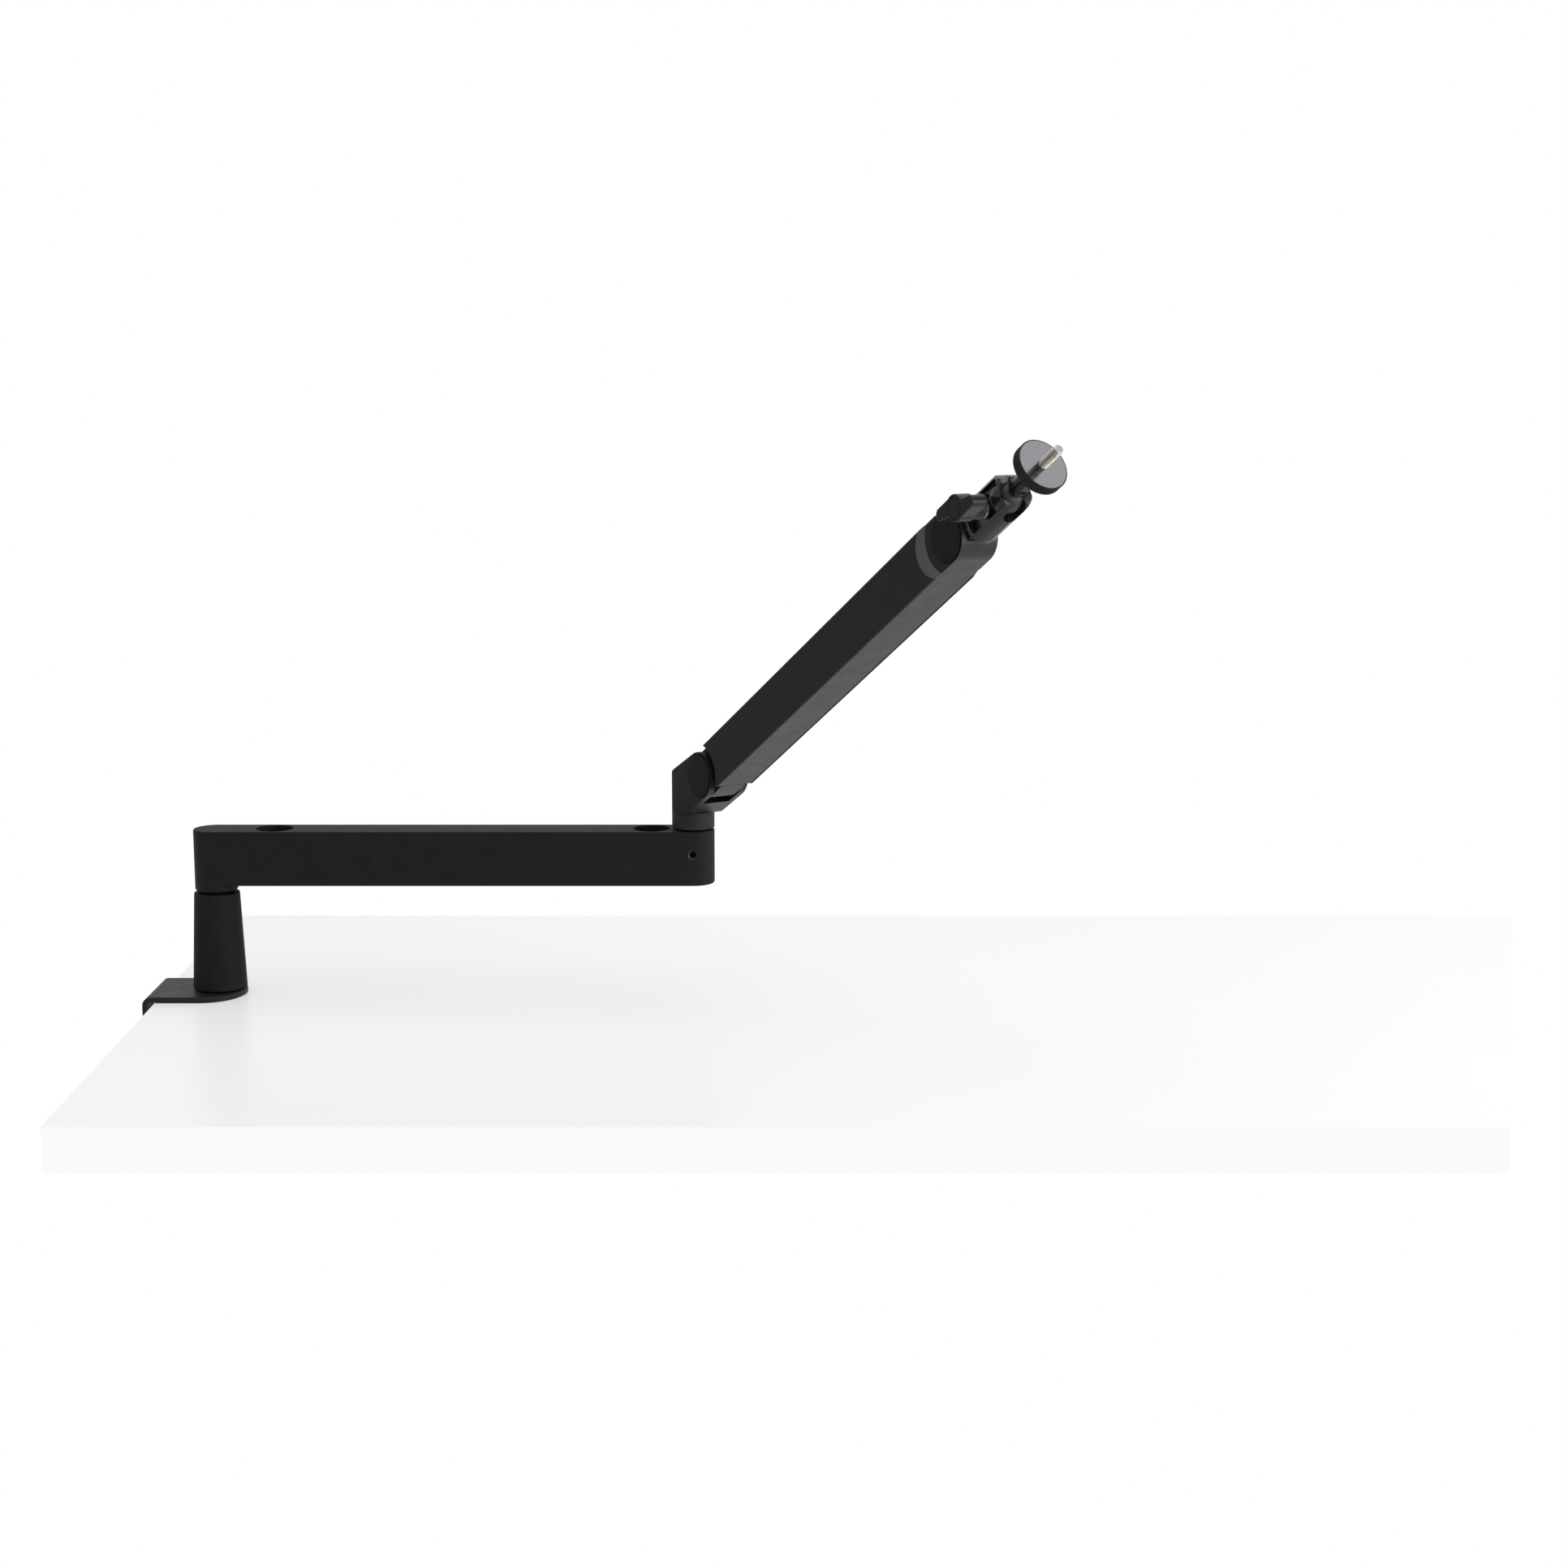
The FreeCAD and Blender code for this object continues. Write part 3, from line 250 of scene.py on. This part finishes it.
def spread(tree, factor, low, high):
    """Maps a noise onto a range of values."""
    node = tree.nodes.new("ShaderNodeMapRange")
    node.inputs["From Min"].default_value = NOISE_LOW
    node.inputs["From Max"].default_value = NOISE_HIGH
    node.inputs["To Min"].default_value = low
    node.inputs["To Max"].default_value = high
    tree.links.new(factor, node.inputs["Value"])
    return node.outputs["Result"]


def tint(tree, factor, dark, light):
    """Colour that wanders between two close shades."""
    ramp = tree.nodes.new("ShaderNodeValToRGB")
    first, last = ramp.color_ramp.elements
    first.position, last.position = NOISE_LOW, NOISE_HIGH
    first.color, last.color = (*dark, 1), (*light, 1)
    tree.links.new(factor, ramp.inputs["Fac"])
    return ramp.outputs["Color"]


def bump(tree, shader, heights, strength, distance, edge):
    """Fine relief over softened edges."""
    soft = tree.nodes.new("ShaderNodeBevel")
    soft.samples = EDGE_SAMPLES
    soft.inputs["Radius"].default_value = edge
    node = tree.nodes.new("ShaderNodeBump")
    node.inputs["Strength"].default_value = strength
    node.inputs["Distance"].default_value = distance
    tree.links.new(heights, node.inputs["Height"])
    tree.links.new(soft.outputs["Normal"], node.inputs["Normal"])
    tree.links.new(node.outputs["Normal"], shader.inputs["Normal"])


def coat(name, dark, light, rough, grain, relief, specular):
    """Paint, plastic or rubber: fine grain in the surface, roughness and shade that wander a little."""
    material, tree, shader, place = fresh_material(name)
    cloud = noise(tree, place, COAT_CLOUD, COAT_CLOUD_DETAIL)
    tree.links.new(tint(tree, cloud, dark, light), shader.inputs["Base Color"])
    roughness = spread(tree, cloud, rough - COAT_ROUGH_SPREAD, rough + COAT_ROUGH_SPREAD)
    tree.links.new(roughness, shader.inputs["Roughness"])
    shader.inputs["Specular IOR Level"].default_value = specular
    bump(tree, shader, noise(tree, place, grain), relief, COAT_RELIEF, COAT_EDGE)
    return material


def metal(name, dark, light, rough, stretch, relief):
    """Turned or plated metal: fine drawn-out lines over a metallic base."""
    material, tree, shader, place = fresh_material(name)
    lines = noise(tree, place, METAL_LINES, stretch=stretch)
    tree.links.new(tint(tree, lines, dark, light), shader.inputs["Base Color"])
    roughness = spread(tree, lines, rough - METAL_ROUGH_BELOW, rough + METAL_ROUGH_ABOVE)
    tree.links.new(roughness, shader.inputs["Roughness"])
    shader.inputs["Metallic"].default_value = 1.0
    bump(tree, shader, lines, relief, METAL_RELIEF, METAL_EDGE)
    return material


def make_materials():
    made = {use: coat(*values) for use, values in COATS.items()}
    made.update({use: metal(*values) for use, values in METALS.items()})
    return made


# Finishes of the nodes

def dress_nodes():
    """The record's slot on each node, or a coat that the node is given of its own: a finish, painted light or
    painted shade.
    """
    for row in frame["record"]["subparts"]:
        finish = WHOLE_FINISHES.get(row["node"], row["material_slot"])
        mesh = mesh_of(row["node"])
        mesh.materials.clear()
        mesh.materials.append(materials[finish])


def dress_faces(node, finish, wanted):
    """Another finish, or painted light, on the faces of a node that are wanted."""
    mesh = mesh_of(node)
    mesh.materials.append(materials[finish])
    for face in mesh.polygons:
        if wanted(face):
            face.material_index = len(mesh.materials) - 1


def dress_tip():
    """Painted light: a much lighter coat on the slanting faces behind the tip's flat sides, and the cover's
    lighter, glossier coat round its rim.
    """
    across, ahead = joint_line("head_tilt")[1], joint_line("ball_pan")[1]

    def aside(face):
        return abs(face.normal.dot(across))

    def bevel(face):
        return BEVEL_ASIDE_LOW < aside(face) < BEVEL_ASIDE_HIGH and face.normal.dot(ahead) > BEVEL_FORWARD

    dress_faces("tip_clevis", "tip_bevel", bevel)
    dress_faces("tip_clevis", "cover_plastic", lambda face: aside(face) < TIP_RIM_ASIDE)


def dress_knob():
    """Coarser, duller grain on the wing knob's end faces."""
    way = joint_line("wing_knob_turn")[1]
    dress_faces("t_knob", "knob_face", lambda face: abs(face.normal.dot(way)) > FLAT_COSINE)


def dress_under_sides():
    """Painted light: the cover's lighter, glossier coat on the down-facing faces under the upper arm's knuckle and
    under the elbow's lip, for light bounced up from the desk.
    """
    arm_under = joint_line("ball_pan")[1].cross(joint_line("head_tilt")[1])
    if arm_under.z > 0:
        arm_under.negate()
    for node, way in (("arm_knuckle", arm_under), ("elbow_head", Vector((0, 0, -1)))):
        dress_faces(node, "cover_plastic", lambda face: face.normal.dot(way) > UNDER_COSINE)


def dress_screw_rim():
    """Painted highlight: a lighter coat on the rim of the set screw's hole."""
    low, high = (Vector(corner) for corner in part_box("elbow_set_screw"))
    middle = (low + high) / 2
    reach = SCREW_RIM_REACH * (high.x - low.x)

    def rim(face):
        aside = Vector((face.center.x - middle.x, 0, face.center.z - middle.z)).length
        return aside < reach and face.center.y < low.y and abs(face.normal.y) < FLAT_COSINE

    dress_faces("lower_arm_shell", "screw_rim_painted_highlight", rim)


# Pieces that the solids keep plain

def object_from(name, points, faces, material):
    mesh = bpy.data.meshes.new(name)
    mesh.from_pydata(points, [], faces)
    mesh.materials.append(material)
    item = bpy.data.objects.new(name, mesh)
    bpy.context.scene.collection.objects.link(item)
    return item


def piece_from_rows(name, rows, columns, material, capped=False):
    """Piece from rings with one point for every column, with flat caps on the first and last ring where capped."""
    points = [point for row in rows for point in row]
    faces = []
    for near in range(0, len(points) - columns, columns):
        far = near + columns
        for j in range(columns):
            after = (j + 1) % columns
            faces.append((near + j, near + after, far + after, far + j))
    if capped:
        faces.append(tuple(reversed(range(columns))))
        faces.append(tuple(range(len(points) - columns, len(points))))
    return object_from(name, points, faces, material)


def smooth(piece, angle):
    """Smooth shading, with edges sharper than an angle in degrees kept."""
    for face in piece.data.polygons:
        face.use_smooth = True
    piece.data.set_sharp_from_angle(angle=math.radians(angle))


def ring(radius_at, height, columns):
    turns = [2 * math.pi * j / columns for j in range(columns)]
    return [Vector((radius_at(t) * math.cos(t), radius_at(t) * math.sin(t), height)) for t in turns]


def thread_radius(crest, pitch, height):
    """Radius round one ring of a right-hand thread with blunted crests and roots."""
    depth = pitch * THREAD_DEPTH_SHARE

    def radius(turn):
        phase = (height / pitch - turn / (2 * math.pi)) % 1
        slope = 1 - abs(2 * phase - 1)
        rise = min(max((slope - THREAD_ROOT_FLAT) / THREAD_FLANK, 0), 1)
        return crest - depth * (1 - rise)

    return radius


def threaded_rod(name, crest, pitch, low, high, finish, root_shade_finish):
    """Rod with a real helix along it, with painted shade in its roots (a darker coat on the deep faces), and a
    chamfer at both ends.
    """
    count = math.ceil((high - low) / pitch * THREAD_ROWS)
    rows = []
    for i in range(count + 1):
        height = low + (high - low) * i / count
        bare = thread_radius(crest, pitch, height)
        limit = crest - ROD_CHAMFER + min(height - low, high - height, ROD_CHAMFER)
        rows.append(ring(lambda turn: min(bare(turn), limit), height, THREAD_COLUMNS))
    piece = piece_from_rows(name, rows, THREAD_COLUMNS, materials[finish], capped=True)
    smooth(piece, THREAD_SHARP)
    # Painted shade: the faces deep in the roots get the darker coat
    piece.data.materials.append(materials[root_shade_finish])
    shade_below = crest - pitch * THREAD_DEPTH_SHARE * ROOT_SHADE_SHARE
    for face in piece.data.polygons:
        inside = low + ROD_CHAMFER < face.center.z < high - ROD_CHAMFER
        if inside and face.center.xy.length < shade_below:
            face.material_index = 1
    return piece


def make_stud():
    line = joint_line("lock_disc_turn")
    low, high, radius = along("mic_stud", line)
    stud = threaded_rod("stud_thread", radius, STUD_PITCH, low, high, "stud_nickel", "stud_root_shade")
    stud.matrix_world = upright_to(line)
    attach(stud, "stem")
    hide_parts("mic_stud")


def make_clamp_screw():
    """Clamp screw up to the pressure plate."""
    line = joint_line("clamp_turn")
    low, _, radius = along("clamp_screw", line)
    high = along("pressure_plate", line)[0] - FOOT_GAP
    screw = threaded_rod("clamp_screw_thread", radius, CLAMP_PITCH, low, high, "zinc_steel", "zinc_root_shade")
    screw.matrix_world = upright_to(line)
    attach(screw, "clamp_drive")
    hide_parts("clamp_screw")


def make_lock_disc():
    """Locking disc with straight ridges round its rim."""
    line = joint_line("lock_disc_turn")
    low, high, radius = along("lock_disc", line)
    face_low, _, face_radius = along("disc_face", line)
    bore = along("mic_stud", line)[2] + DISC_BORE_GAP
    seat = face_radius + DISC_SEAT_GAP
    columns = KNURL_RIDGES * KNURL_COLUMNS

    def ridged(turn):
        return radius - KNURL_DEPTH * (0.5 - 0.5 * math.cos(turn * KNURL_RIDGES))

    def plain(value):
        return lambda turn: value

    knurl_high = high - DISC_LIP
    outline = [
        (plain(bore), low),
        (plain(radius - KNURL_TAPER), low),
        (ridged, low + KNURL_TAPER),
        (ridged, knurl_high),
        (plain(radius), knurl_high + DISC_LIP_STEP),
        (plain(radius), high - DISC_CHAMFER_HEIGHT),
        (plain(radius - DISC_CHAMFER_WIDTH), high),
        (plain(seat), high),
        (plain(seat), face_low),
        (plain(bore), face_low),
        (plain(bore), low),
    ]
    rows = [ring(radius_at, height, columns) for radius_at, height in outline]
    disc = piece_from_rows("lock_disc_knurled", rows, columns, materials["disc_body"])
    smooth(disc, DISC_SHARP)
    disc.matrix_world = upright_to(line)
    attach(disc, "lock_ring")
    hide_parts("lock_disc")


# Stage, light and camera

def seen(tree):
    """One for rays that show the background: straight from the camera, mirrored or let through."""
    path = tree.nodes.new("ShaderNodeLightPath")
    total = path.outputs["Is Camera Ray"]
    for name in ("Is Glossy Ray", "Is Transmission Ray"):
        larger = tree.nodes.new("ShaderNodeMath")
        larger.operation = "MAXIMUM"
        tree.links.new(total, larger.inputs[0])
        tree.links.new(path.outputs[name], larger.inputs[1])
        total = larger.outputs["Value"]
    return total


def desk_material(name, tone, tone_share):
    """White laminate with a faint sheen, a share of its pale tone shown to seen rays as it is."""
    material, tree, shader, place = fresh_material(name)
    cloud = noise(tree, place, LAMINATE_CLOUD)
    tree.links.new(tint(tree, cloud, LAMINATE_DARK, LAMINATE_LIGHT), shader.inputs["Base Color"])
    tree.links.new(spread(tree, cloud, *LAMINATE_ROUGH), shader.inputs["Roughness"])
    shader.inputs["Specular IOR Level"].default_value = LAMINATE_SPECULAR
    pale = tree.nodes.new("ShaderNodeEmission")
    pale.inputs["Color"].default_value = tone
    share = tree.nodes.new("ShaderNodeMath")
    share.operation = "MULTIPLY"
    share.inputs[1].default_value = tone_share
    mix = tree.nodes.new("ShaderNodeMixShader")
    tree.links.new(seen(tree), share.inputs[0])
    tree.links.new(share.outputs["Value"], mix.inputs["Fac"])
    tree.links.new(shader.outputs["BSDF"], mix.inputs[1])
    tree.links.new(pale.outputs["Emission"], mix.inputs[2])
    tree.links.new(mix.outputs["Shader"], tree.nodes["Material Output"].inputs["Surface"])
    return material


def make_desk():
    """Desk top with a paler front edge, which hides the clamp's knob from the camera."""
    corners = [
        (DESK_LEFT_FRONT, DESK_FRONT),
        (DESK_RIGHT_FRONT, DESK_FRONT),
        (DESK_RIGHT_BACK, DESK_BACK),
        (DESK_LEFT_BACK, DESK_BACK),
    ]
    points = [(x, y, z) for z in (0, -DESK_THICK) for x, y in corners]
    front_edge = (0, 4, 5, 1)
    faces = [front_edge, (0, 1, 2, 3), (7, 6, 5, 4), (1, 5, 6, 2), (2, 6, 7, 3), (3, 7, 4, 0)]
    desk = object_from("desk", points, faces, desk_material("desk_top", TOP_PALE, TOP_PALE_SHARE))
    desk.data.materials.append(desk_material("desk_edge", EDGE_PALE, EDGE_PALE_SHARE))
    desk.data.polygons[0].material_index = 1


def make_world():
    """White background, seen in mirrored rays too, over plain soft light."""
    world = bpy.data.worlds.new("studio")
    world.use_nodes = True
    bpy.context.scene.world = world
    tree = world.node_tree
    light = tree.nodes["Background"]
    light.inputs["Color"].default_value = WORLD_WHITE
    light.inputs["Strength"].default_value = DIFFUSE_LIGHT
    white = tree.nodes.new("ShaderNodeBackground")
    white.inputs["Color"].default_value = WORLD_WHITE
    mix = tree.nodes.new("ShaderNodeMixShader")
    tree.links.new(seen(tree), mix.inputs["Fac"])
    tree.links.new(light.outputs["Background"], mix.inputs[1])
    tree.links.new(white.outputs["Background"], mix.inputs[2])
    tree.links.new(mix.outputs["Shader"], tree.nodes["World Output"].inputs["Surface"])


def make_lamps():
    for name, (place, target, size, power) in LAMPS.items():
        data = bpy.data.lights.new(name, "AREA")
        data.shape = "RECTANGLE"
        data.size, data.size_y = size
        data.energy = power
        lamp = bpy.data.objects.new(name, data)
        lamp.location = place
        lamp.rotation_euler = (Vector(target) - Vector(place)).to_track_quat("-Z", "Y").to_euler()
        bpy.context.scene.collection.objects.link(lamp)


def make_camera():
    data = bpy.data.cameras.new("camera")
    data.sensor_width = CAMERA_SENSOR
    data.lens = CAMERA_LENS
    data.clip_start = CAMERA_NEAR
    data.clip_end = CAMERA_FAR
    camera = bpy.data.objects.new("camera", data)
    camera.location = CAMERA_PLACE
    camera.rotation_euler = (math.pi / 2 - CAMERA_PITCH, 0, 0)
    bpy.context.scene.collection.objects.link(camera)
    bpy.context.scene.camera = camera


materials = make_materials()
dress_nodes()
dress_tip()
dress_knob()
dress_under_sides()
dress_screw_rim()
make_stud()
make_clamp_screw()
make_lock_disc()
make_desk()
make_world()
make_lamps()
make_camera()
bpy.context.scene.view_settings.view_transform = "Standard"
